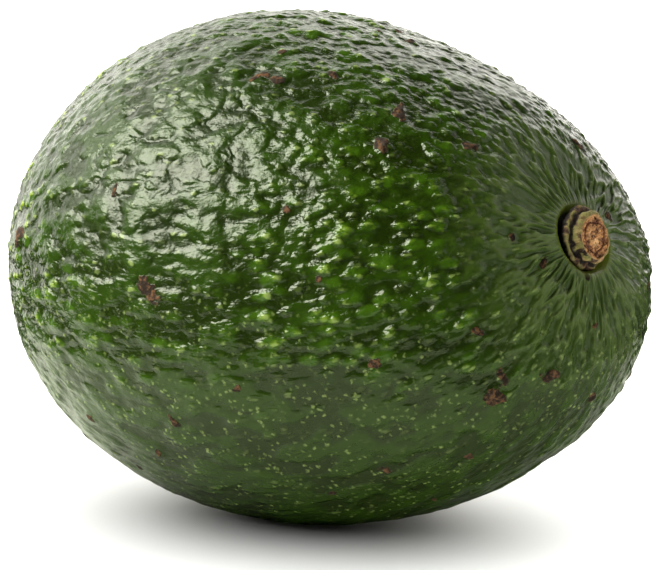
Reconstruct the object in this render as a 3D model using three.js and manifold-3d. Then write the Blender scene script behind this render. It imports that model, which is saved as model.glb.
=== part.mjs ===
// An avocado lying on its side: a whole fruit with the cut stub of its stem.
// Millimetres, +Z up. The origin is the middle of the bounding box's bottom, on the surface the
// fruit lies on, and +X runs along the fruit from its blossom end to its stem end.
import * as THREE from 'three';
import { mergeVertices } from 'three/addons/utils/BufferGeometryUtils.js';
import Module from 'manifold-3d';

// Driving dimensions of the fruit.
const LENGTH = 87.3;          // stem end to blossom end, before the fruit is bowed
const WIDTH = 70;             // across the fatter part
const HEIGHT_TO_WIDTH = 0.946;
const BLOSSOM_SHIFT = 9.3;    // how far the widest section lies from mid length, towards the stem
const BLUNTNESS = 0.841;      // 1 is an ellipse, and less makes the ends rounder
const TAPER = [-0.273, 0.07, 0.111]; // change of girth with the 1st, 2nd and 3rd power along the axis
const BOW = [10.84, 3.17];    // rise of the axis 50 mm out: the even part, and the part towards the stem
const BOW_AT = 50;
const TILT = 4.36;            // degrees that the stem end is raised by
const REST_FLAT = 0.6;        // depth of the flat spot that the fruit has settled on

// Driving dimensions of the stem stub.
const STEM_RADIUS = 3.05;     // at the cut face
const STEM_FOOT_RADIUS = 4.2; // the scar that joins the fruit
const STEM_PROUD = 2.3;       // from the fruit's end to the cut face
const STEM_SEAT = 1.2;        // depth of the foot below the fruit's end
const STEM_RISE = 12;         // degrees above level
const STEM_SWING = 2;         // degrees from +X towards +Y
const SEAT_GAP = 0.3;

// Fineness of the faceted surfaces.
const PROFILE_STEPS = 34;
const AROUND_FRUIT = 48;
const AROUND_STEM = 28;

const wasm = await Module();
wasm.setup();

function toSolid(geometry) {
  const plain = geometry.clone();
  plain.deleteAttribute('normal');
  plain.deleteAttribute('uv');
  const merged = mergeVertices(plain, 1e-4);
  const vertProperties = new Float32Array(merged.attributes.position.array);
  const triVerts = new Uint32Array(merged.index.array);
  return new wasm.Manifold(new wasm.Mesh({ numProp: 3, vertProperties, triVerts }));
}

function toGeometry(solid) {
  const mesh = solid.getMesh();
  const geometry = new THREE.BufferGeometry();
  geometry.setAttribute('position', new THREE.BufferAttribute(new Float32Array(mesh.vertProperties), 3));
  geometry.setIndex(new THREE.BufferAttribute(new Uint32Array(mesh.triVerts), 1));
  geometry.computeVertexNormals();
  return geometry;
}

// A point of the fruit's profile, as (radius, distance along the axis), where turn runs from 0 at
// the blossom end to PI at the stem end.
function profilePoint(turn) {
  const along = -Math.cos(turn);
  const girth = 1 + TAPER[0] * along + TAPER[1] * along ** 2 + TAPER[2] * along ** 3;
  const radius = (WIDTH / 2) * Math.sin(turn) ** BLUNTNESS * girth;
  const height = (LENGTH / 2) * along - BLOSSOM_SHIFT * along ** 2;
  return new THREE.Vector2(radius, height);
}

// Moves a point of the straight fruit onto the bowed axis.
function bow(point) {
  const reach = point.x / BOW_AT;
  const slope = (2 * BOW[0] * reach + 3 * BOW[1] * reach ** 2) / BOW_AT;
  const angle = Math.atan(slope);
  const rise = BOW[0] * reach ** 2 + BOW[1] * reach ** 3;
  return new THREE.Vector3(
    point.x - point.z * Math.sin(angle),
    point.y,
    rise + point.z * Math.cos(angle),
  );
}

function makeFruitBody() {
  const profile = [new THREE.Vector2(0, profilePoint(0).y)];
  for (let step = 1; step < PROFILE_STEPS; step += 1) {
    profile.push(profilePoint((Math.PI * step) / PROFILE_STEPS));
  }
  profile.push(new THREE.Vector2(0, profilePoint(Math.PI).y));
  const body = new THREE.LatheGeometry(profile, AROUND_FRUIT);
  body.rotateZ(-Math.PI / 2);
  body.scale(1, 1, HEIGHT_TO_WIDTH);
  const place = body.attributes.position;
  for (let index = 0; index < place.count; index += 1) {
    const bowed = bow(new THREE.Vector3().fromBufferAttribute(place, index));
    place.setXYZ(index, bowed.x, bowed.y, bowed.z);
  }
  body.rotateY(THREE.MathUtils.degToRad(-TILT));
  return body;
}

// The point of the stem end on the tilted and bowed fruit.
function stemPoint() {
  const tip = bow(new THREE.Vector3(profilePoint(Math.PI).y, 0, 0));
  return tip.applyAxisAngle(new THREE.Vector3(0, 1, 0), THREE.MathUtils.degToRad(-TILT));
}

const stemAxis = new THREE.Vector3(1, 0, 0)
  .applyAxisAngle(new THREE.Vector3(0, 1, 0), THREE.MathUtils.degToRad(-STEM_RISE))
  .applyAxisAngle(new THREE.Vector3(0, 0, 1), THREE.MathUtils.degToRad(STEM_SWING));
const stemTurn = new THREE.Quaternion().setFromUnitVectors(new THREE.Vector3(0, 1, 0), stemAxis);

// A turned piece standing on the stem's axis, from (radius, distance out from the fruit's end).
function makeStemTurning(outline) {
  const points = outline.map(([radius, out]) => new THREE.Vector2(radius, out));
  const turning = new THREE.LatheGeometry(points, AROUND_STEM);
  turning.applyQuaternion(stemTurn);
  const base = stemPoint();
  turning.translate(base.x, base.y, base.z);
  return turning;
}

function makeStem() {
  return makeStemTurning([
    [0, -STEM_SEAT],
    [STEM_FOOT_RADIUS * 0.8, -STEM_SEAT],
    [STEM_FOOT_RADIUS, -STEM_SEAT * 0.4],
    [STEM_FOOT_RADIUS, STEM_PROUD * 0.15],
    [STEM_RADIUS * 1.12, STEM_PROUD * 0.45],
    [STEM_RADIUS * 1.08, STEM_PROUD * 0.85],
    [STEM_RADIUS * 0.96, STEM_PROUD],
    [0, STEM_PROUD],
  ]);
}

// The room that the stem's foot takes in the fruit, open to the outside.
function makeStemSeat() {
  const radius = STEM_FOOT_RADIUS + SEAT_GAP;
  return makeStemTurning([
    [0, -STEM_SEAT - SEAT_GAP],
    [radius, -STEM_SEAT - SEAT_GAP],
    [radius, STEM_PROUD * 4],
    [0, STEM_PROUD * 4],
  ]);
}

function makeFruit() {
  const body = makeFruitBody();
  body.computeBoundingBox();
  const { min, max } = body.boundingBox;
  const floorTop = min.z + REST_FLAT;
  const below = new THREE.BoxGeometry(LENGTH, WIDTH, WIDTH);
  below.translate((min.x + max.x) / 2, (min.y + max.y) / 2, floorTop - WIDTH / 2);
  const settled = toSolid(body).subtract(toSolid(below)).subtract(toSolid(makeStemSeat()));
  return toGeometry(settled);
}

const fruitGeometry = makeFruit();
const stemGeometry = makeStem();

// The whole part's box sets the origin.
fruitGeometry.computeBoundingBox();
stemGeometry.computeBoundingBox();
const whole = fruitGeometry.boundingBox.clone().union(stemGeometry.boundingBox);
const middle = whole.getCenter(new THREE.Vector3());

const skin = new THREE.MeshStandardMaterial({ color: 0x2f5a1c, roughness: 0.38, metalness: 0 });
const bark = new THREE.MeshStandardMaterial({ color: 0x8a6538, roughness: 0.8, metalness: 0 });

const fruit = new THREE.Mesh(fruitGeometry, skin);
fruit.name = 'fruit';

const stem = new THREE.Mesh(stemGeometry, bark);
stem.name = 'stem';

const avocado = new THREE.Group();
avocado.name = 'avocado';
avocado.add(fruit, stem);
avocado.position.set(-middle.x, -middle.y, -whole.min.z);
avocado.updateMatrixWorld(true);

export default avocado;
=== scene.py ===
import math
import random

import bpy
import numpy as np
from mathutils import Matrix, Vector


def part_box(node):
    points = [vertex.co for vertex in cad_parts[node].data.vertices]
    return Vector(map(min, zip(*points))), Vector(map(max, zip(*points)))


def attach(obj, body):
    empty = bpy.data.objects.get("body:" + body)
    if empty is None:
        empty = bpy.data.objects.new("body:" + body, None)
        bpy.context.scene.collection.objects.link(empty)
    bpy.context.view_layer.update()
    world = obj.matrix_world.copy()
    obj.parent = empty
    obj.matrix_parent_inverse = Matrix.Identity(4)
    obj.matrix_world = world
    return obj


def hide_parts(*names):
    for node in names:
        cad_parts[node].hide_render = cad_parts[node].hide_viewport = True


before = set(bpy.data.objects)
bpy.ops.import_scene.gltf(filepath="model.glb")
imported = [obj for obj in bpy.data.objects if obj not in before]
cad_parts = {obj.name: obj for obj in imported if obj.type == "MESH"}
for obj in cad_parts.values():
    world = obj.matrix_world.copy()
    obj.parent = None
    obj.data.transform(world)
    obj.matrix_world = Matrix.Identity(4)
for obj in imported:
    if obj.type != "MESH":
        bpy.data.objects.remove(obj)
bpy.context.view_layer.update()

MM = 0.001

# The fruit's shape, in millimetres, as its solid in the frame has it.
LENGTH = 87.3
WIDTH = 70.0
HEIGHT_TO_WIDTH = 0.946
BLOSSOM_SHIFT = 9.3
BLUNTNESS = 0.841
TAPER = (-0.273, 0.07, 0.111)
BOW = (10.84, 3.17)
BOW_AT = 50.0
TILT = math.radians(4.36)

# The pit that the stem's foot stands in, and the way the stub points, in millimetres and radians.
PIT_RADIUS = 4.6
PIT_DEPTH = 1.3
PIT_EDGE = 0.18
STEM_RISE = math.radians(12)
STEM_SWING = math.radians(2)

# Fineness of the skin's mesh, before each face is split twice: it stays under 200,000 triangles.
AROUND = 110
RINGS = 56
SPLITS = 2
STEM_CROWDING = 0.3

# The lowest that the rind's mesh is laid, in millimetres, which is its flat spot.
FLOOR_CLEARANCE = 0.02

# The crown of ribs round the stem, by distance from it over the skin, in millimetres.
CROWN_FROM = 25
CROWN_TO = 10
RIB_STRETCH = 20.0
GRAIN_RATE = 0.58
GRAIN_RATE_DROP = 0.38
STEM_HUB = 15.0

# Relief of the skin: how much of it is in the mesh, with the rest as bump, and roughly its mean
# in millimetres, which is taken off so that the fruit nearly keeps its size.
SHARE_IN_MESH = 0.6
RELIEF_MEAN = 1.16

# Sizes of the rind's features across the fruit, in millimetres. The grain draws the plates,
# knobs, granules, fine texture and ribs out along it.
LUMP_SIZE = 11
LOW_PLATE_SIZE = 3.4
LEAF_SIZE = 3.6
KNOB_SIZE = 2.3
GRANULE_SIZE = 1.2
DOT_SIZE = 0.9
FINE_SIZE = 0.9
RIB_SIZE = 2.9
THIN_RIB_SIZE = 1.5
CRUMB_SIZE = 0.6

# The upper shoulder, where the rind is flat plates rather than knobs, in millimetres.
PLATE_MIDDLE = (-6, -26, 54)
PLATE_INNER = 12
PLATE_OUTER = 30

# The flower's scar at the far end, and the dip round it: radii in millimetres.
NAVEL_RADIUS = 1.3
NAVEL_DIP = 5.0

# The far end, painted paler by its distance from the stem over the skin, in millimetres: partly its own
# paler tone, partly painted light.
FAR_FROM = 72
FAR_TO = 104

# Corky scabs, scattered over the rind from a fixed seed: radii in millimetres.
SCAB_SEED = 5
SMALL_SCABS = 60
LARGE_SCABS = 14
SMALL_SCAB = (0.65, 1.0)
LARGE_SCAB = (1.1, 1.9)


def colour(code):
    """A linear colour from an sRGB hex code."""
    parts = [int(code[i:i + 2], 16) / 255 for i in (1, 3, 5)]
    linear = [p / 12.92 if p <= 0.04045 else ((p + 0.055) / 1.055) ** 2.4 for p in parts]
    return (*linear, 1.0)


def add(tree, kind, inputs=None, **settings):
    """Adds a node, sets it up, and gives each named input a value or a link."""
    made = tree.nodes.new(kind)
    for name, value in settings.items():
        setattr(made, name, value)
    for name, value in (inputs or {}).items():
        socket = made.inputs[name]
        if isinstance(value, bpy.types.NodeSocket):
            tree.links.new(value, socket)
        else:
            socket.default_value = value
    return made


def deselect():
    if bpy.context.object and bpy.context.object.mode != "OBJECT":
        bpy.ops.object.mode_set(mode="OBJECT")
    bpy.ops.object.select_all(action="DESELECT")


# ---------------------------------------------------------------- camera

CAMERA_AIM = Vector((3.6, -4.1, 32.9)) * MM
CAMERA_AZIMUTH = math.radians(38.94)
CAMERA_ELEVATION = math.radians(10.6)
CAMERA_DISTANCE = 0.6
LENS = 244.0


def towards(azimuth, elevation):
    """The direction out from the fruit at an azimuth from -Y towards +X and a height angle."""
    flat = math.cos(elevation)
    return Vector((math.sin(azimuth) * flat, -math.cos(azimuth) * flat, math.sin(elevation)))


def make_camera():
    out = towards(CAMERA_AZIMUTH, CAMERA_ELEVATION)
    bpy.ops.object.camera_add(location=CAMERA_AIM + out * CAMERA_DISTANCE)
    camera = bpy.context.object
    camera.rotation_euler = out.to_track_quat("Z", "Y").to_euler()
    camera.data.lens = LENS
    camera.data.sensor_width = 36
    camera.data.clip_start = 0.01
    bpy.context.scene.camera = camera


# ---------------------------------------------------------------- shape of the fruit

def profile(turn):
    """Radius and place along the axis at a turn from 0 at the blossom end to pi at the stem."""
    along = -np.cos(turn)
    girth = 1 + TAPER[0] * along + TAPER[1] * along ** 2 + TAPER[2] * along ** 3
    radius = WIDTH / 2 * np.maximum(np.sin(turn), 0) ** BLUNTNESS * girth
    return radius, LENGTH / 2 * along - BLOSSOM_SHIFT * along ** 2


def bow_and_tilt(x, y, z):
    """Lays points of the straight fruit along its bowed axis, with the stem end raised."""
    reach = x / BOW_AT
    angle = np.arctan((2 * BOW[0] * reach + 3 * BOW[1] * reach ** 2) / BOW_AT)
    rise = BOW[0] * reach ** 2 + BOW[1] * reach ** 3
    bent_x = x - z * np.sin(angle)
    bent_z = rise + z * np.cos(angle)
    tilted_x = bent_x * math.cos(TILT) - bent_z * math.sin(TILT)
    tilted_z = bent_x * math.sin(TILT) + bent_z * math.cos(TILT)
    return np.stack([tilted_x, y, tilted_z], axis=-1)


def frame_offset():
    """Where the straight fruit's origin lies in the frame, found from the fruit's own box."""
    low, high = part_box("fruit")
    turn = np.linspace(0, np.pi, 721)[:, None]
    around = np.linspace(0, 2 * np.pi, 361)[None, :]
    radius, height = profile(turn)
    points = bow_and_tilt(height + 0 * around, radius * np.cos(around),
                          radius * np.sin(around) * HEIGHT_TO_WIDTH).reshape(-1, 3)
    offset_x = (low[0] + high[0]) / 2 / MM - (points[:, 0].min() + points[:, 0].max()) / 2
    offset_z = high[2] / MM - points[:, 2].max()
    return Vector((offset_x, 0, offset_z))


OFFSET = frame_offset()


def fruit_end(turn):
    """The fruit's blossom end, at turn 0, or its stem end, at turn pi, in millimetres."""
    _, height = profile(np.array([turn]))
    return Vector(bow_and_tilt(height, np.zeros(1), np.zeros(1))[0]) + OFFSET


def set_attribute(mesh, name, kind, values):
    layer = mesh.attributes.new(name, kind, "POINT")
    layer.data.foreach_set("vector" if kind == "FLOAT_VECTOR" else "value",
                           np.ascontiguousarray(values, dtype=np.float32).ravel())


def scab_depth(points):
    """How deep in a scab each point of the rind lies: 1 at its middle, 0 at its edge, less outside."""
    draw = random.Random(SCAB_SEED)
    depth = np.full(len(points), -3.0)
    for count, sizes in ((SMALL_SCABS, SMALL_SCAB), (LARGE_SCABS, LARGE_SCAB)):
        for _ in range(count):
            turn = math.acos(draw.uniform(-1, 1))
            around = draw.uniform(0, 2 * math.pi)
            radius, height = profile(np.array([turn]))
            middle = bow_and_tilt(height, radius * math.cos(around),
                                  radius * math.sin(around) * HEIGHT_TO_WIDTH)[0] + np.array(OFFSET)
            long_way = np.array([draw.uniform(-1, 1) for _ in range(3)])
            long_way /= np.linalg.norm(long_way)
            away = points - middle
            away = away - 0.5 * (away @ long_way)[:, None] * long_way
            depth = np.maximum(depth, 1 - np.linalg.norm(away, axis=1) / draw.uniform(*sizes))
    return depth


def make_skin():
    """The rind: a sphere of rings with its poles at the two ends, laid on the fruit's shape."""
    deselect()
    bpy.ops.mesh.primitive_uv_sphere_add(segments=AROUND, ring_count=RINGS, radius=1)
    skin = bpy.context.object
    skin.name = skin.data.name = "skin"
    finer = skin.modifiers.new("finer", "SUBSURF")
    finer.subdivision_type = "SIMPLE"
    finer.levels = finer.render_levels = SPLITS
    bpy.ops.object.modifier_apply(modifier=finer.name)
    mesh = skin.data
    sphere = np.empty(len(mesh.vertices) * 3, dtype=np.float32)
    mesh.vertices.foreach_get("co", sphere)
    sphere = sphere.reshape(-1, 3).astype(float)
    sphere /= np.linalg.norm(sphere, axis=1, keepdims=True)

    step = np.arccos(np.clip(-sphere[:, 2], -1, 1)) / np.pi
    step = step + STEM_CROWDING * step * (1 - step)
    turn = step * np.pi
    around = np.arctan2(sphere[:, 1], sphere[:, 0])
    radius, height = profile(turn)
    pit = 1 / (1 + np.exp((radius - PIT_RADIUS) / PIT_EDGE))
    pit = np.where(turn > np.pi / 2, pit, 0)
    height_in = height - PIT_DEPTH * pit
    laid = bow_and_tilt(height_in, radius * np.cos(around), radius * np.sin(around) * HEIGHT_TO_WIDTH)
    laid = laid + np.array(OFFSET)
    rest = laid.copy()
    laid[:, 2] = np.maximum(laid[:, 2], FLOOR_CLEARANCE)
    mesh.vertices.foreach_set("co", (laid * MM).astype(np.float32).ravel())

    # Distance from the stem end over the skin, along a meridian.
    steps = np.linspace(0, np.pi, 1441)
    ring_radius, ring_height = profile(steps)
    lengths = np.hypot(np.diff(ring_radius), np.diff(ring_height))
    run = np.concatenate([[0], np.cumsum(lengths)])
    from_stem = run[-1] - np.interp(turn, steps, run)

    # The grain: a space in which the pebbles are round. Near the stem it is drawn out, so that
    # pebbles become ribs that meet at the stem.
    rate = GRAIN_RATE - GRAIN_RATE_DROP * np.exp(-((run[-1] - run) / RIB_STRETCH) ** 2)
    grown = np.concatenate([[0], np.cumsum(lengths * (rate[1:] + rate[:-1]) / 2)])
    grain_along = np.interp(turn, steps, grown)
    hub = np.where(turn > np.pi / 2, STEM_HUB, 0.0)
    spread = np.sqrt(radius ** 2 + hub ** 2 * np.abs(np.cos(turn)))
    grain = np.stack([grain_along, spread * np.cos(around), spread * np.sin(around)], axis=-1)

    set_attribute(mesh, "rest", "FLOAT_VECTOR", rest * MM)
    set_attribute(mesh, "grain", "FLOAT_VECTOR", grain * MM)
    set_attribute(mesh, "from_stem", "FLOAT", from_stem)
    set_attribute(mesh, "scab", "FLOAT", scab_depth(rest))
    bpy.ops.object.shade_smooth()
    return skin


# ---------------------------------------------------------------- relief of the skin

def read_attribute(tree, name, kind):
    """The named attribute, in a material's tree or in a geometry tree."""
    if tree.bl_idname == "ShaderNodeTree":
        read = add(tree, "ShaderNodeAttribute", attribute_name=name)
        return read.outputs["Vector" if kind == "FLOAT_VECTOR" else "Fac"]
    read = add(tree, "GeometryNodeInputNamedAttribute", {"Name": name}, data_type=kind)
    return read.outputs["Attribute"]


def maths(tree, operation, *values):
    made = add(tree, "ShaderNodeMath", {i: v for i, v in enumerate(values)}, operation=operation)
    return made.outputs["Value"]


def ramp(tree, value, start, end, low=0.0, high=1.0):
    """A smooth step of value, from low at start to high at end."""
    made = add(tree, "ShaderNodeMapRange",
               {"Value": value, "From Min": start, "From Max": end, "To Min": low, "To Max": high},
               interpolation_type="SMOOTHSTEP")
    return made.outputs["Result"]


def noise(tree, place, size, detail=2.0, roughness=0.5, **more):
    """Noise whose lumps are about size millimetres across."""
    made = add(tree, "ShaderNodeTexNoise",
               {"Vector": place, "Scale": 1 / (size * MM), "Detail": detail, "Roughness": roughness, **more})
    return made.outputs


def cells(tree, place, size, feature="F1", **more):
    """Voronoi cells about size millimetres across."""
    made = add(tree, "ShaderNodeTexVoronoi",
               {"Vector": place, "Scale": 1 / (size * MM), **more}, feature=feature)
    return made.outputs


def stirred(tree, place, size, shift):
    """The place, moved about by up to shift millimetres, so that cells lose their straight edges."""
    swirl = add(tree, "ShaderNodeVectorMath",
                {0: noise(tree, place, size)["Color"], 1: (0.5, 0.5, 0.5)}, operation="SUBTRACT")
    moved = add(tree, "ShaderNodeVectorMath",
                {0: swirl.outputs[0], 1: (2 * shift * MM,) * 3, 2: place}, operation="MULTIPLY_ADD")
    return moved.outputs[0]


def skin_relief(tree):
    """The rind's relief in millimetres, and the masks that its colours follow."""
    rest = read_attribute(tree, "rest", "FLOAT_VECTOR")
    grain = read_attribute(tree, "grain", "FLOAT_VECTOR")
    from_stem = read_attribute(tree, "from_stem", "FLOAT")
    crown = ramp(tree, from_stem, CROWN_FROM, CROWN_TO)
    body = maths(tree, "SUBTRACT", 1.0, maths(tree, "MULTIPLY", crown, 0.85))

    # Broad lumps and low plates.
    lumps = noise(tree, rest, LUMP_SIZE, detail=1)["Fac"]
    plate = ramp(tree, noise(tree, grain, LOW_PLATE_SIZE, detail=1.5)["Fac"], 0.42, 0.56)

    # Overlapping flat plates with thin crevices between them, on the shoulder and in patches.
    middle = tuple(c * MM for c in PLATE_MIDDLE)
    apart = add(tree, "ShaderNodeVectorMath", {0: rest, 1: middle}, operation="DISTANCE").outputs["Value"]
    shoulder = ramp(tree, apart, PLATE_OUTER * MM, PLATE_INNER * MM)
    height_up = add(tree, "ShaderNodeSeparateXYZ", {"Vector": rest}).outputs[2]
    patches = maths(tree, "MULTIPLY", ramp(tree, noise(tree, rest, 24, detail=1)["Fac"], 0.54, 0.66),
                    ramp(tree, height_up, 0.034, 0.05))
    plated = maths(tree, "MULTIPLY", maths(tree, "MAXIMUM", shoulder, patches), body)
    leaf_place = stirred(tree, grain, 2.6, 1.1)
    leaves = cells(tree, leaf_place, LEAF_SIZE)
    leaf = add(tree, "ShaderNodeSeparateXYZ", {"Vector": leaves["Color"]}).outputs[0]
    leaf = maths(tree, "MULTIPLY", leaf, plated)
    edge = cells(tree, leaf_place, LEAF_SIZE, "DISTANCE_TO_EDGE")["Distance"]
    broken = ramp(tree, noise(tree, rest, 3.0, detail=1)["Fac"], 0.4, 0.6)
    crevice = maths(tree, "MULTIPLY", ramp(tree, edge, 0.15, 0.0), broken)
    crevice = maths(tree, "MULTIPLY", crevice, plated)
    knobby = maths(tree, "MULTIPLY", body, maths(tree, "MULTIPLY_ADD", plated, -0.7, 1.0))
    knobby = maths(tree, "MULTIPLY", knobby, ramp(tree, height_up, 0.022, 0.036, 0.45, 1.0))

    # Round knobs, each with its own height, and small grains over them.
    knobs = cells(tree, stirred(tree, grain, 1.3, 0.6), KNOB_SIZE, Randomness=1.0)
    knob_size = add(tree, "ShaderNodeSeparateXYZ", {"Vector": knobs["Color"]}).outputs[0]
    knob = ramp(tree, knobs["Distance"], 0.66, 0.14)
    knob = maths(tree, "MULTIPLY", knob, ramp(tree, knob_size, -0.3, 0.7))
    grains = cells(tree, stirred(tree, grain, 0.7, 0.4), GRANULE_SIZE, Randomness=1.0)
    grain_size = add(tree, "ShaderNodeSeparateXYZ", {"Vector": grains["Color"]}).outputs[0]
    granule = ramp(tree, grains["Distance"], 0.72, 0.14)
    granule = maths(tree, "MULTIPLY", granule, ramp(tree, grain_size, -0.5, 0.6))
    fine = noise(tree, grain, FINE_SIZE, detail=2, roughness=0.6)["Fac"]

    # Pale specks, on the grains' tops, and in loose clusters lower down.
    top = ramp(tree, grains["Distance"], 0.36, 0.12)
    top = maths(tree, "MULTIPLY", top, ramp(tree, grain_size, 0.2, 0.6))
    top = maths(tree, "MULTIPLY", top, ramp(tree, knob, 0.0, 0.6, 0.2, 1.0))
    top = maths(tree, "MULTIPLY", top, ramp(tree, height_up, 0.02, 0.036, 0.35, 1.0))
    dots = cells(tree, stirred(tree, rest, 0.5, 0.4), DOT_SIZE, Randomness=1.0)
    dot_size = add(tree, "ShaderNodeSeparateXYZ", {"Vector": dots["Color"]}).outputs[0]
    dot = ramp(tree, dots["Distance"], 0.4, 0.05)
    dot = maths(tree, "MULTIPLY", dot, ramp(tree, dot_size, 0.1, 0.7))
    cluster = ramp(tree, noise(tree, rest, 3.2, detail=1)["Fac"], 0.38, 0.54, 0.15, 1.0)
    dot = maths(tree, "MULTIPLY", dot, ramp(tree, height_up, 0.042, 0.03, 0.12, 1.0))
    speck = maths(tree, "MAXIMUM", top, maths(tree, "MULTIPLY", dot, cluster))

    # Ribs that meet at the stem, with thin crests.
    rib = noise(tree, grain, RIB_SIZE, detail=1.5)["Fac"]
    rib = ramp(tree, maths(tree, "ABSOLUTE", maths(tree, "SUBTRACT", rib, 0.5)), 0.13, 0.0)
    thin_rib = noise(tree, grain, THIN_RIB_SIZE, detail=1)["Fac"]
    ribs = maths(tree, "MULTIPLY_ADD", thin_rib, 0.45, rib)
    ribs = maths(tree, "MULTIPLY", ribs, crown)
    sides = ramp(tree, from_stem, 4.6, 8)

    # Scabs, with edges broken by noise and a crumbled top.
    crumb = noise(tree, rest, CRUMB_SIZE, detail=3, roughness=0.65)["Fac"]
    ragged = noise(tree, rest, 1.5, detail=2)["Fac"]
    depth = read_attribute(tree, "scab", "FLOAT")
    scab = maths(tree, "MULTIPLY_ADD", maths(tree, "SUBTRACT", ragged, 0.5), 1.6, depth)
    scab = maths(tree, "MULTIPLY", ramp(tree, scab, 0.28, 0.42), ramp(tree, depth, 0.0, 0.12))

    # The small corky scar that the flower left at the far end, in a shallow dip.
    end = tuple(c * MM for c in fruit_end(0.0))
    apart = add(tree, "ShaderNodeVectorMath", {0: rest, 1: end}, operation="DISTANCE").outputs["Value"]
    apart = maths(tree, "MULTIPLY_ADD", maths(tree, "SUBTRACT", ragged, 0.5), 1.6 * MM, apart)
    navel = ramp(tree, apart, NAVEL_RADIUS * MM, NAVEL_RADIUS * 0.6 * MM)
    dip = ramp(tree, apart, NAVEL_DIP * MM, 0.0)

    height = maths(tree, "MULTIPLY_ADD", lumps, 1.1, -RELIEF_MEAN)
    parts = (
        (maths(tree, "MULTIPLY", plate, body), 0.26),
        (maths(tree, "MULTIPLY", knob, knobby), 0.38),
        (maths(tree, "MULTIPLY", granule, knobby), 0.4),
        (maths(tree, "MULTIPLY", fine, body), 0.26),
        (leaf, 0.3),
        (crevice, -0.28),
        (speck, 0.05),
        (ribs, 0.5),
        (scab, 0.1),
        (maths(tree, "MULTIPLY", scab, crumb), 0.3),
        (dip, -0.5),
        (maths(tree, "MULTIPLY", navel, crumb), 0.6),
    )
    for mask, tall in parts:
        height = maths(tree, "MULTIPLY_ADD", mask, tall, height)
    height = maths(tree, "MULTIPLY", height, sides)
    height = maths(tree, "MULTIPLY", height, ramp(tree, height_up, 0.0, 0.0015))
    return {"height": height, "rest": rest, "from_stem": from_stem, "plate": plate, "plated": plated,
            "crevice": crevice, "knobby": knobby, "knob": knob, "granule": granule, "speck": speck,
            "crown": crown, "ribs": ribs, "scab": scab, "crumb": crumb, "navel": navel}


def raise_relief(piece, make_relief, share):
    """Moves a piece's vertices along their normals by its relief, and applies it."""
    tree = bpy.data.node_groups.new(piece.name + "_relief", "GeometryNodeTree")
    tree.interface.new_socket("Geometry", in_out="INPUT", socket_type="NodeSocketGeometry")
    tree.interface.new_socket("Geometry", in_out="OUTPUT", socket_type="NodeSocketGeometry")
    start = add(tree, "NodeGroupInput")
    height = make_relief(tree)["height"]
    normal = add(tree, "GeometryNodeInputNormal").outputs["Normal"]
    lift = maths(tree, "MULTIPLY", height, share * MM)
    offset = add(tree, "ShaderNodeVectorMath", {0: normal, "Scale": lift}, operation="SCALE").outputs[0]
    moved = add(tree, "GeometryNodeSetPosition", {"Geometry": start.outputs[0], "Offset": offset})
    end = add(tree, "NodeGroupOutput")
    tree.links.new(moved.outputs[0], end.inputs[0])
    modifier = piece.modifiers.new("relief", "NODES")
    modifier.node_group = tree
    deselect()
    piece.select_set(True)
    bpy.context.view_layer.objects.active = piece
    bpy.ops.object.modifier_apply(modifier=modifier.name)


# ---------------------------------------------------------------- materials

def blank_material(name):
    material = bpy.data.materials.new(name)
    material.use_nodes = True
    tree = material.node_tree
    tree.nodes.clear()
    shader = add(tree, "ShaderNodeBsdfPrincipled")
    out = add(tree, "ShaderNodeOutputMaterial")
    tree.links.new(shader.outputs[0], out.inputs["Surface"])
    return material, tree, shader


def mixed(tree, factor, first, second):
    made = add(tree, "ShaderNodeMix", {"Factor": factor}, data_type="RGBA", blend_type="MIX")
    for socket, value in ((made.inputs[6], first), (made.inputs[7], second)):
        if isinstance(value, bpy.types.NodeSocket):
            tree.links.new(value, socket)
        else:
            socket.default_value = value
    return made.outputs[2]


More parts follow.
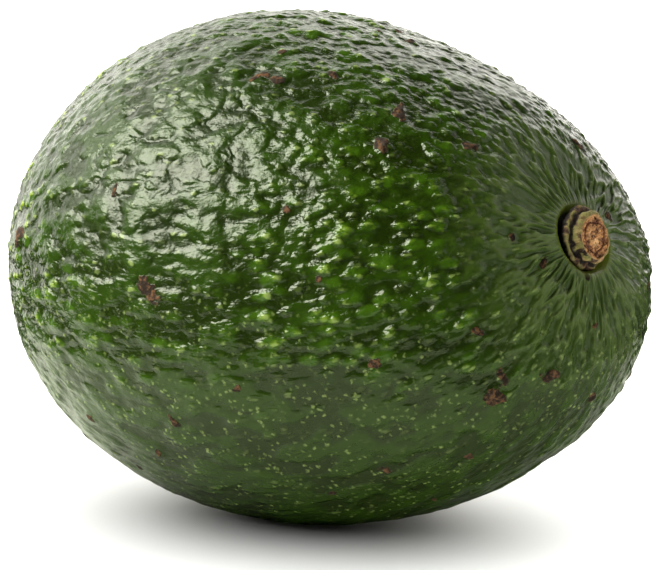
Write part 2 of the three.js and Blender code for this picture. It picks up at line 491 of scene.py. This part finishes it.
def skin_material():
    """Waxy rind, grown with a thin cuticle over green cells: a deep green under a wet-looking gloss."""
    material, tree, shader = blank_material("waxy avocado rind")
    relief = skin_relief(tree)
    # The rind is painted darker green between the low plates and lighter on them: partly its own tone,
    # partly painted shade in the hollows.
    base = mixed(tree, relief["plate"], colour("#192703"), colour("#213604"))
    base = mixed(tree, maths(tree, "MULTIPLY", relief["crown"], 0.85), base, colour("#2c4012"))
    # Painted highlight: the rib crests are painted lighter, as thin bright lines along them.
    base = mixed(tree, maths(tree, "MULTIPLY", relief["ribs"], 0.5), base, colour("#53652b"))
    rise = maths(tree, "MULTIPLY", relief["knob"], relief["knobby"])
    base = mixed(tree, ramp(tree, rise, 0.15, 0.9), base, colour("#304c08"))
    tip = maths(tree, "MULTIPLY_ADD", rise, 0.75, 0.25)
    tip = maths(tree, "MULTIPLY", tip, maths(tree, "MULTIPLY", relief["granule"], relief["knobby"]))
    base = mixed(tree, ramp(tree, tip, 0.2, 0.95), base, colour("#5a751a"))
    # The far end's grains are painted paler: partly the blossom end's own tone, partly painted light.
    far = ramp(tree, relief["from_stem"], FAR_FROM, FAR_TO)
    base = mixed(tree, maths(tree, "MULTIPLY", ramp(tree, tip, 0.15, 0.7), far), base, colour("#869a26"))
    base = mixed(tree, maths(tree, "MULTIPLY", relief["speck"], 0.68), base, colour("#7f9050"))
    # Painted shade: the crevices between the flat plates are darkened nearly to black.
    base = mixed(tree, maths(tree, "MULTIPLY", relief["crevice"], 0.45), base, colour("#0d1802"))
    bark = mixed(tree, ramp(tree, relief["crumb"], 0.44, 0.64), colour("#1f0c05"), colour("#5c3d22"))
    base = mixed(tree, relief["scab"], base, bark)
    base = mixed(tree, relief["navel"], base, bark)
    ring = maths(tree, "MULTIPLY", ramp(tree, relief["from_stem"], 5.9, 4.5), 0.7)
    base = mixed(tree, ring, base, colour("#6d7a24"))
    # Painted shade: the rind inside the pit round the stub's foot goes near black, where the gap lies in
    # shade.
    base = mixed(tree, ramp(tree, relief["from_stem"], 4.5, 4.1), base, colour("#120a05"))
    tree.links.new(base, shader.inputs["Base Color"])
    shader.inputs["IOR"].default_value = 1.4
    shader.inputs["Specular Tint"].default_value = (0.93, 1.0, 0.82, 1.0)
    rough = maths(tree, "MULTIPLY_ADD", noise(tree, relief["rest"], 1.2, detail=3)["Fac"], 0.14, 0.12)
    rough = maths(tree, "MULTIPLY_ADD", relief["crown"], 0.12, rough)
    rough = maths(tree, "MULTIPLY_ADD", relief["plated"], 0.1, rough)
    rough = maths(tree, "MULTIPLY_ADD", relief["scab"], 0.6, rough)
    tree.links.new(rough, shader.inputs["Roughness"])
    fine = noise(tree, relief["rest"], 0.45, detail=3)["Fac"]
    height = maths(tree, "MULTIPLY", relief["height"], 1 - SHARE_IN_MESH)
    height = maths(tree, "MULTIPLY_ADD", fine, 0.05, height)
    bump = add(tree, "ShaderNodeBump", {"Height": height, "Distance": MM, "Strength": 1.0})
    tree.links.new(bump.outputs[0], shader.inputs["Normal"])
    return material


def plain_material(name, code, roughness):
    material, tree, shader = blank_material(name)
    shader.inputs["Base Color"].default_value = colour(code)
    shader.inputs["Roughness"].default_value = roughness
    return material


# ---------------------------------------------------------------- stem

STEM_AXIS = Vector((math.cos(STEM_RISE) * math.cos(STEM_SWING),
                    math.cos(STEM_RISE) * math.sin(STEM_SWING), math.sin(STEM_RISE)))


# The stub's outline from its foot up, as (radius, height) in millimetres, and its features.
STUB_FOOT = (3.6, -1.4)
STUB_OUTLINE = (
    (4.0, -1.0), (4.2, -0.4), (4.2, 0.0), (4.0, 0.3), (3.6, 0.45), (3.35, 0.55), (3.3, 0.8),
    (3.3, 1.1), (3.2, 1.35), (3.05, 1.55), (2.9, 1.65), (2.75, 1.6), (2.65, 1.55),
)
FACE_RADIUS = 2.75
FACE_HEIGHT = 1.2
LEDGE_HEIGHT = 0.5
BAST_RADIUS = 2.05


def make_stem():
    """The stub, drawn up from its foot ring by ring, then laid on its axis."""
    deselect()
    last_radius, last_height = STUB_FOOT
    bpy.ops.mesh.primitive_circle_add(vertices=96, radius=last_radius * MM, fill_type="NGON")
    stem = bpy.context.object
    stem.name = stem.data.name = "stem_stub"
    bpy.ops.object.mode_set(mode="EDIT")
    bpy.ops.mesh.select_all(action="SELECT")
    bpy.ops.transform.translate(value=(0, 0, last_height * MM))
    for radius, height in STUB_OUTLINE:
        bpy.ops.mesh.extrude_region_move(
            TRANSFORM_OT_translate={"value": (0, 0, (height - last_height) * MM)})
        ratio = radius / last_radius
        bpy.ops.transform.resize(value=(ratio, ratio, 1), center_override=(0, 0, height * MM))
        last_radius, last_height = radius, height
    for _ in range(9):
        bpy.ops.mesh.inset(thickness=0.3 * MM)
    bpy.ops.mesh.select_all(action="SELECT")
    bpy.ops.mesh.normals_make_consistent(inside=False)
    bpy.ops.object.mode_set(mode="OBJECT")
    rounded = stem.modifiers.new("rounded", "SUBSURF")
    rounded.levels = rounded.render_levels = 2
    bpy.ops.object.modifier_apply(modifier=rounded.name)
    bpy.ops.object.shade_smooth()
    upright = np.empty(len(stem.data.vertices) * 3, dtype=np.float32)
    stem.data.vertices.foreach_get("co", upright)
    set_attribute(stem.data, "stub", "FLOAT_VECTOR", upright)
    raise_relief(stem, stub_relief, 1.0)
    turn = STEM_AXIS.to_track_quat("Z", "Y").to_matrix().to_4x4()
    stem.data.transform(Matrix.Translation(fruit_end(np.pi) * MM) @ turn)
    return stem


def near(tree, value, middle, half_width):
    """A band: 1 where value is at middle, and 0 past half_width either side."""
    apart = maths(tree, "ABSOLUTE", maths(tree, "SUBTRACT", value, middle))
    return ramp(tree, apart, half_width, half_width * 0.2)


def stub_relief(tree):
    """The stub's relief in millimetres: bark that is cracked lengthways, and a torn cut face."""
    stub = read_attribute(tree, "stub", "FLOAT_VECTOR")
    part = add(tree, "ShaderNodeSeparateXYZ", {"Vector": stub}).outputs
    flat = add(tree, "ShaderNodeCombineXYZ", {"X": part[0], "Y": part[1]}).outputs[0]
    out = add(tree, "ShaderNodeVectorMath", {0: flat}, operation="LENGTH").outputs["Value"]
    out = maths(tree, "MULTIPLY", out, 1 / MM)
    up = maths(tree, "MULTIPLY", part[2], 1 / MM)
    lump = noise(tree, stub, 2.4, detail=1)["Fac"]
    uneven = maths(tree, "SUBTRACT", noise(tree, stub, 1.7, detail=2)["Fac"], 0.5)
    ring = maths(tree, "MULTIPLY_ADD", uneven, 1.5, out)
    level = maths(tree, "MULTIPLY_ADD", uneven, 1.0, up)

    rim = maths(tree, "MULTIPLY_ADD", uneven, 0.3, out)
    face = maths(tree, "MULTIPLY", ramp(tree, rim, FACE_RADIUS + 0.08, FACE_RADIUS - 0.05),
                 ramp(tree, up, FACE_HEIGHT - 0.1, FACE_HEIGHT + 0.1))
    drawn = add(tree, "ShaderNodeVectorMath", {0: stub, 1: (1, 1, 0.4)}, operation="MULTIPLY").outputs[0]
    crack = noise(tree, drawn, 0.9, detail=3, roughness=0.65)["Fac"]
    torn = noise(tree, stub, 0.6, detail=3, roughness=0.75)["Fac"]
    pits = cells(tree, stirred(tree, stub, 0.7, 0.3), 0.8, Randomness=1.0)["Distance"]
    pit = maths(tree, "MULTIPLY", ramp(tree, pits, 0.4, 0.15), ramp(tree, uneven, -0.08, 0.06))
    bast = near(tree, ring, BAST_RADIUS, 0.3)
    ledge = near(tree, level, LEDGE_HEIGHT, 0.22)

    bark = maths(tree, "MULTIPLY_ADD", crack, 0.7, maths(tree, "MULTIPLY", lump, 0.9))
    bark = maths(tree, "MULTIPLY_ADD", ledge, -0.18, bark)
    wood = maths(tree, "MULTIPLY_ADD", torn, 0.9, maths(tree, "MULTIPLY", pit, -0.3))
    wood = maths(tree, "MULTIPLY_ADD", bast, -0.22, wood)
    height = add(tree, "ShaderNodeMix", {"Factor": face}, data_type="FLOAT")
    for socket, value in ((height.inputs[2], maths(tree, "SUBTRACT", bark, 0.8)),
                          (height.inputs[3], maths(tree, "SUBTRACT", wood, 0.45))):
        tree.links.new(value, socket)
    return {"height": height.outputs[0], "face": face, "out": out, "up": up, "crack": crack,
            "torn": torn, "pit": pit, "stub": stub, "bast": bast, "ledge": ledge, "rim": rim,
            "uneven": uneven}


def stem_material():
    """Dry bark round torn wood: dull, cracked and olive at the side, tan with dark pits on the cut."""
    material, tree, shader = blank_material("dry stem bark and cut wood")
    relief = stub_relief(tree)
    side = mixed(tree, ramp(tree, relief["uneven"], -0.08, 0.08), colour("#54371b"), colour("#757035"))
    side = mixed(tree, ramp(tree, relief["crack"], 0.52, 0.68), side, colour("#9a8350"))
    side = mixed(tree, ramp(tree, relief["crack"], 0.47, 0.36), side, colour("#2b180c"))
    side = mixed(tree, relief["ledge"], side, colour("#1f1108"))
    # Painted shade: the bark darkens to near black towards the foot, where the stub sits down in the pit.
    foot = ramp(tree, relief["up"], 0.1, -0.5)
    side = mixed(tree, foot, side, colour("#1a0e06"))

    wood = mixed(tree, ramp(tree, relief["torn"], 0.34, 0.66), colour("#5b2f16"), colour("#c48c50"))
    heart = ramp(tree, relief["out"], 1.7, 0.6)
    heart = maths(tree, "MULTIPLY", heart, ramp(tree, relief["uneven"], 0.03, -0.06))
    wood = mixed(tree, heart, wood, colour("#ddaf76"))
    wood = mixed(tree, relief["bast"], wood, colour("#6b3a1b"))
    wood = mixed(tree, relief["pit"], wood, colour("#2c1409"))
    wood = mixed(tree, ramp(tree, relief["torn"], 0.42, 0.32), wood, colour("#3a1c0c"))
    base = mixed(tree, relief["face"], side, wood)
    rim = maths(tree, "MULTIPLY", near(tree, relief["rim"], FACE_RADIUS + 0.05, 0.22),
                ramp(tree, relief["up"], FACE_HEIGHT, FACE_HEIGHT + 0.2))
    base = mixed(tree, maths(tree, "MULTIPLY", rim, 0.85), base, colour("#a87a48"))
    tree.links.new(base, shader.inputs["Base Color"])
    shader.inputs["Roughness"].default_value = 0.7
    grit = noise(tree, relief["stub"], 0.25, detail=2)["Fac"]
    bump = add(tree, "ShaderNodeBump", {"Height": grit, "Distance": 0.15 * MM, "Strength": 1.0})
    tree.links.new(bump.outputs[0], shader.inputs["Normal"])
    return material


# ---------------------------------------------------------------- studio

LIGHT_TARGET = (0, 0, 0.035)
FLOOR_SIZE = 2
FLOOR_HEIGHT = -0.0004

# The card that the rind's lower half reflects, with a painted shadow at its middle, in metres.
CARD_HOLE = 0.008
CARD_PALE_FROM = 0.058
CARD_RADIUS = 0.095
CARD_MIDDLE = (-0.004, 0.0)


def add_panel(name, azimuth, elevation, distance, width, height, radiance, tint):
    """A soft light panel that faces the fruit, set by how bright it looks."""
    target = Vector(LIGHT_TARGET)
    light = bpy.data.lights.new(name, "AREA")
    light.color = tint
    light.shape = "RECTANGLE"
    light.size = width
    light.size_y = height
    light.energy = radiance * math.pi * width * height
    panel = bpy.data.objects.new(name, light)
    bpy.context.scene.collection.objects.link(panel)
    out = towards(math.radians(azimuth), math.radians(elevation))
    panel.location = target + out * distance
    panel.rotation_euler = out.to_track_quat("Z", "Y").to_euler()
    return panel


def card_material():
    """Painted card: matt, with a painted shadow from dark at its middle to pale, so that what the rind
    reflects of it fades to dark underneath."""
    material, tree, shader = blank_material("card with painted shadow")
    place = add(tree, "ShaderNodeTexCoord").outputs["Object"]
    apart = add(tree, "ShaderNodeVectorMath", {0: place, 1: (*CARD_MIDDLE, 0)}, operation="DISTANCE")
    pale = ramp(tree, apart.outputs["Value"], CARD_HOLE, CARD_PALE_FROM)
    base = mixed(tree, pale, colour("#1c1e18"), colour("#dce3d2"))
    tree.links.new(base, shader.inputs["Base Color"])
    shader.inputs["Roughness"].default_value = 0.7
    return material


def make_card(material):
    """A ring of card round the fruit's foot, seen only in reflections, for the lower half's sheen."""
    deselect()
    bpy.ops.mesh.primitive_circle_add(vertices=96, radius=CARD_HOLE, fill_type="NOTHING")
    card = bpy.context.object
    card.name = card.data.name = "card"
    bpy.ops.object.mode_set(mode="EDIT")
    bpy.ops.mesh.select_all(action="SELECT")
    bpy.ops.mesh.extrude_region_move()
    grow = CARD_RADIUS / CARD_HOLE
    bpy.ops.transform.resize(value=(grow, grow, 1), center_override=(0, 0, 0))
    bpy.ops.mesh.select_all(action="SELECT")
    bpy.ops.mesh.normals_make_consistent(inside=False)
    bpy.ops.object.mode_set(mode="OBJECT")
    card.data.transform(Matrix.Translation((CARD_MIDDLE[0], CARD_MIDDLE[1], 0)))
    card.data.materials.append(material)
    card.visible_camera = False
    card.visible_diffuse = False
    card.visible_shadow = False
    return card


def light_only(panel, objects, state):
    """Makes a panel light only these objects, or all but these."""
    chosen = bpy.data.collections.new(panel.name + "_lights")
    for piece in objects:
        chosen.objects.link(piece)
    panel.light_linking.receiver_collection = chosen
    for entry in chosen.collection_objects:
        entry.light_linking.link_state = state


def make_studio():
    deselect()
    white = plain_material("white card", "#e4e4e2", 0.7)
    bpy.ops.mesh.primitive_plane_add(size=FLOOR_SIZE, location=(0, 0, FLOOR_HEIGHT))
    floor = bpy.context.object
    floor.name = "floor"
    floor.data.materials.append(white)
    floor.visible_glossy = False
    card = make_card(card_material())
    turn = math.degrees(CAMERA_AZIMUTH)
    warm = (1.0, 0.975, 0.91)
    key = add_panel("key_softbox", turn - 84, 39, 0.6, 0.42, 0.42, 18, warm)
    light_only(key, (floor,), "EXCLUDE")
    add_panel("back_panel", turn + 178, 26, 1.2, 1.3, 1.1, 1.9, warm)
    add_panel("right_back_panel", turn + 150, 22, 1.2, 1.2, 1.0, 1.1, warm)
    add_panel("right_panel", turn + 85, 20, 0.8, 0.9, 0.9, 0.9, warm)
    add_panel("left_panel", turn - 140, 12, 0.8, 0.6, 0.7, 2.0, warm)
    table = add_panel("table_panel", turn - 20, 80, 1.2, 4.2, 4.2, 3.2, (1.0, 1.0, 1.0))
    light_only(table, (floor,), "INCLUDE")
    world = bpy.data.worlds.new("studio")
    world.use_nodes = True
    tree = world.node_tree
    tree.nodes.clear()
    path = add(tree, "ShaderNodeLightPath")
    dim = add(tree, "ShaderNodeBackground", {"Color": (1, 1, 1, 1), "Strength": 0.03})
    bright = add(tree, "ShaderNodeBackground", {"Color": (1, 1, 1, 1), "Strength": 1.0})
    both = add(tree, "ShaderNodeMixShader",
               {0: path.outputs["Is Camera Ray"], 1: dim.outputs[0], 2: bright.outputs[0]})
    out = add(tree, "ShaderNodeOutputWorld")
    tree.links.new(both.outputs[0], out.inputs["Surface"])
    bpy.context.scene.world = world
    bpy.context.scene.view_settings.view_transform = "Standard"


make_camera()
make_studio()

skin = make_skin()
raise_relief(skin, skin_relief, SHARE_IN_MESH)
skin.data.materials.append(skin_material())
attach(skin, "root")
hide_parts("fruit")

stem = make_stem()
stem.data.materials.append(stem_material())
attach(stem, "root")
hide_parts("stem")
